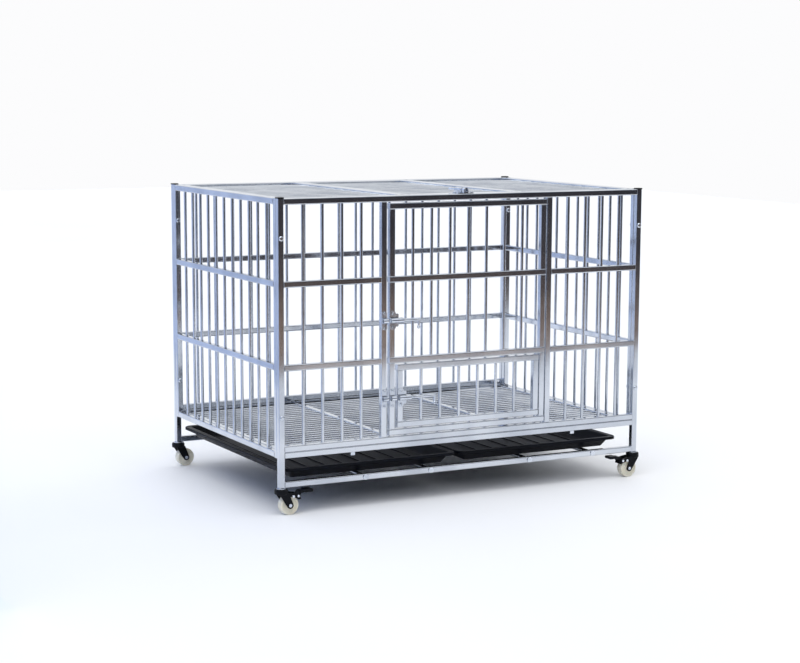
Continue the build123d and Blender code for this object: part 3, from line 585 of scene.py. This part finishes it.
def separate_boxes(name):
    """Low and high corner of each separate piece of a CAD node.

    Butted pieces can share points and edges, so the walk goes from face to face, and
    only over edges that have two faces."""
    mesh = bmesh.new()
    mesh.from_mesh(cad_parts[name].data)
    bmesh.ops.remove_doubles(mesh, verts=mesh.verts, dist=SAME_POINT)
    boxes, seen = [], set()
    for first in mesh.faces:
        if first in seen:
            continue
        seen.add(first)
        stack, corners = [first], []
        while stack:
            face = stack.pop()
            corners += [vertex.co for vertex in face.verts]
            for edge in face.edges:
                if len(edge.link_faces) != 2:
                    continue
                for other in edge.link_faces:
                    if other not in seen:
                        seen.add(other)
                        stack.append(other)
        boxes.append(([min(corner[i] for corner in corners) for i in range(3)],
                      [max(corner[i] for corner in corners) for i in range(3)]))
    mesh.free()
    return boxes


def turned_on_points(tree, points, shape):
    """A shape at each point, turned to the point's direction, as real geometry."""
    along = node(tree, "GeometryNodeInputNamedAttribute", {"Name": "along"},
                 data_type="FLOAT_VECTOR").outputs[0]
    turned = node(tree, "FunctionNodeAlignRotationToVector", {"Vector": along}, axis="Z")
    placed = node(tree, "GeometryNodeInstanceOnPoints", {"Points": points, "Instance": shape,
                                                         "Rotation": turned.outputs[0]})
    return node(tree, "GeometryNodeRealizeInstances", {0: placed.outputs[0]}).outputs[0]


def recess_tree():
    """Two thin crossed bars of painted shade at each point, lying across the axis of its screw.
    """
    tree = bpy.data.node_groups.new("screw_recesses", "GeometryNodeTree")
    group_input(tree, "Points", "NodeSocketGeometry")
    group_input(tree, "Recess length", "NodeSocketFloat", RECESS_LENGTH)
    group_input(tree, "Recess width", "NodeSocketFloat", RECESS_WIDTH)
    tree.interface.new_socket("Recesses", in_out="OUTPUT", socket_type="NodeSocketGeometry")
    given = node(tree, "NodeGroupInput").outputs
    cross = node(tree, "GeometryNodeJoinGeometry")
    for first, second in (("Recess length", "Recess width"), ("Recess width", "Recess length")):
        size = node(tree, "ShaderNodeCombineXYZ", {0: given[first], 1: given[second],
                                                   2: RECESS_PROUD}).outputs[0]
        bar = node(tree, "GeometryNodeMeshCube", {"Size": size}).outputs[0]
        tree.links.new(bar, cross.inputs[0])
    crosses = turned_on_points(tree, given["Points"], cross.outputs[0])
    painted_output(tree, crosses, recess_painted_shade)
    return tree


recesses = recess_tree()
for body_name, screws in (("cage", "keeper_screws"), ("main_door", "main_door_latch_screws"),
                          ("feed_door", "feed_latch_screws"),
                          ("roof_hatch", "roof_latch_screws")):
    heads, outwards = [], []
    for low, high in separate_boxes(screws):
        place = [(a + b) / 2 for a, b in zip(low, high)]
        upright = high[2] - low[2] > high[1] - low[1]
        axis, edge = (2, high[2]) if upright else (1, low[1])
        place[axis] = edge
        heads.append(tuple(place))
        outwards.append((0.0, 0.0, 1.0) if upright else (0.0, -1.0, 0.0))
    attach(grown(body_name + "_screw_recesses", recesses, {}, heads, outwards), body_name)


# ---- weld beads ----
# Every bar end and butted tube end is welded all round, brushed down and left as a low
# uneven bead. The beads go with the body that the joint belongs to.
BEAD = 0.55 * MM
BEAD_UNEVEN = 0.25 * MM
BEAD_LUMPS = 420.0                     # lumps to the metre
BEAD_STEPS = 24                        # points round a joint
BAR_HALF = 4 * MM
BAR_CORNER = BAR_HALF * 0.98           # all but a full circle, which would leave no sides
TUBE_CORNER = 2.5 * MM
weld_steel = stainless("brushed_weld_bead", "z", roughness=0.3)


def weld_tree():
    """A rounded square bead at each point, across the direction of its tube or bar."""
    tree = bpy.data.node_groups.new("weld_beads", "GeometryNodeTree")
    group_input(tree, "Points", "NodeSocketGeometry")
    inputs = {"half": group_input(tree, "Half width", "NodeSocketFloat", TUBE / 2),
              "corner": group_input(tree, "Corner radius", "NodeSocketFloat", TUBE_CORNER),
              "bead": group_input(tree, "Bead radius", "NodeSocketFloat", BEAD),
              "uneven": group_input(tree, "Unevenness", "NodeSocketFloat", BEAD_UNEVEN),
              "seed": group_input(tree, "Seed", "NodeSocketInt", 7)}
    tree.interface.new_socket("Beads", in_out="OUTPUT", socket_type="NodeSocketGeometry")
    given = node(tree, "NodeGroupInput").outputs
    width = node(tree, "ShaderNodeMath", {0: given["Half width"], 1: 2.0}, operation="MULTIPLY")
    square = node(tree, "GeometryNodeCurvePrimitiveQuadrilateral",
                  {"Width": width, "Height": width})
    path = node(tree, "GeometryNodeFilletCurve", {"Curve": square.outputs[0], "Count": 4,
                                                  "Radius": given["Corner radius"]}, mode="POLY")
    path = node(tree, "GeometryNodeResampleCurve", {"Curve": path.outputs[0],
                                                     "Count": BEAD_STEPS})
    section = node(tree, "GeometryNodeCurvePrimitiveCircle", {"Resolution": 5,
                                                              "Radius": given["Bead radius"]})
    ring = node(tree, "GeometryNodeCurveToMesh", {"Curve": path.outputs[0],
                                                  "Profile Curve": section.outputs[0]})
    beads = turned_on_points(tree, given["Points"], ring.outputs[0])
    where = node(tree, "GeometryNodeInputPosition").outputs[0]
    lumps = node(tree, "ShaderNodeTexNoise", {"Vector": where, "W": given["Seed"],
                                              "Scale": BEAD_LUMPS}, noise_dimensions="4D")
    centred = node(tree, "ShaderNodeVectorMath", {0: lumps.outputs["Color"],
                                                  1: (0.5, 0.5, 0.5)}, operation="SUBTRACT")
    shift = node(tree, "ShaderNodeVectorMath", {0: centred.outputs[0],
                                                "Scale": given["Unevenness"]}, operation="SCALE")
    uneven = node(tree, "GeometryNodeSetPosition", {"Geometry": beads,
                                                    "Offset": shift.outputs[0]})
    smooth = node(tree, "GeometryNodeSetShadeSmooth", {0: uneven.outputs[0]})
    painted_output(tree, smooth.outputs[0], weld_steel)
    return tree, inputs


def joint_places(names, axes):
    """Both ends of each piece whose longest side is along one of the axes."""
    places, directions = [], []
    for name in names:
        for low, high in separate_boxes(name):
            spans = [b - a for a, b in zip(low, high)]
            axis = spans.index(max(spans))
            if "xyz"[axis] not in axes:
                continue
            for end in (low, high):
                place = [(a + b) / 2 for a, b in zip(low, high)]
                place[axis] = end[axis]
                places.append(tuple(place))
                directions.append(tuple(1.0 if i == axis else 0.0 for i in range(3)))
    return places, directions


weld_beads, weld_inputs = weld_tree()
welded = {
    "cage": (("front_bars", "rear_bars", "left_side_bars", "right_side_bars", "roof_bars",
              "floor_bars"),
             (("front_rails", "x"), ("rear_rails", "x"), ("left_side_frame", "y"),
              ("right_side_frame", "y"), ("front_jambs", "z"), ("lower_rails", "x"),
              ("roof_frame", "y"), ("floor_frame", "y"))),
    "main_door": (("main_door_bars",), (("main_door_frame", "z"),)),
    "feed_door": (("feed_door_bars",), (("feed_door_frame", "z"),)),
    "roof_hatch": (("roof_hatch_bars",), (("roof_hatch_frame", "x"),)),
}
for body_name, (bar_nodes, tube_nodes) in welded.items():
    places, directions = joint_places(bar_nodes, "xyz")
    rings = grown(body_name + "_bar_welds", weld_beads,
                  {weld_inputs["half"]: BAR_HALF, weld_inputs["corner"]: BAR_CORNER},
                  places, directions)
    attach(rings, body_name)
    places, directions = [], []
    for tube_node, tube_axis in tube_nodes:
        more_places, more_directions = joint_places([tube_node], tube_axis)
        places += more_places
        directions += more_directions
    squares = grown(body_name + "_tube_welds", weld_beads,
                    {weld_inputs["half"]: TUBE / 2, weld_inputs["corner"]: TUBE_CORNER,
                     weld_inputs["seed"]: 11}, places, directions)
    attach(squares, body_name)


# ---- tube end plates ----
# The door, hatch, roof and side frames have tubes that run on to a corner. Their open
# ends are closed with thin stainless plates, welded in just below the edge.
PLATE_HALF = 7.05 * MM                 # reaches into the wall of the 16 mm tube
PLATE_DEPTH = 0.4 * MM
PLATE_CORNER = 1.6 * MM
end_plate_steel = stainless("polished_end_plate", "y", roughness=0.14)


def end_plate_tree():
    """A flat rounded square at each point, across the direction of its tube."""
    tree = bpy.data.node_groups.new("tube_end_plates", "GeometryNodeTree")
    group_input(tree, "Points", "NodeSocketGeometry")
    group_input(tree, "Half width", "NodeSocketFloat", PLATE_HALF)
    group_input(tree, "Corner radius", "NodeSocketFloat", PLATE_CORNER)
    tree.interface.new_socket("Plates", in_out="OUTPUT", socket_type="NodeSocketGeometry")
    given = node(tree, "NodeGroupInput").outputs
    width = node(tree, "ShaderNodeMath", {0: given["Half width"], 1: 2.0}, operation="MULTIPLY")
    square = node(tree, "GeometryNodeCurvePrimitiveQuadrilateral",
                  {"Width": width, "Height": width})
    outline = node(tree, "GeometryNodeFilletCurve",
                   {"Curve": square.outputs[0], "Count": 4, "Radius": given["Corner radius"]},
                   mode="POLY")
    sheet = node(tree, "GeometryNodeFillCurve", {"Curve": outline.outputs[0]}, mode="NGONS")
    plates = turned_on_points(tree, given["Points"], sheet.outputs[0])
    painted_output(tree, plates, end_plate_steel)
    return tree


end_plates = end_plate_tree()
for body_name, open_nodes in (("cage", (("left_side_frame", "z"), ("right_side_frame", "z"),
                                        ("roof_frame", "x"))),
                              ("main_door", (("main_door_frame", "x"),)),
                              ("feed_door", (("feed_door_frame", "x"),)),
                              ("roof_hatch", (("roof_hatch_frame", "y"),))):
    places, directions = [], []
    for open_node, open_axis in open_nodes:
        ends, lines = joint_places([open_node], open_axis)
        for i, (place, line) in enumerate(zip(ends, lines)):
            inward = PLATE_DEPTH if i % 2 == 0 else -PLATE_DEPTH
            places.append(tuple(a + inward * b for a, b in zip(place, line)))
            directions.append(line)
    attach(grown(body_name + "_end_plates", end_plates, {}, places, directions), body_name)
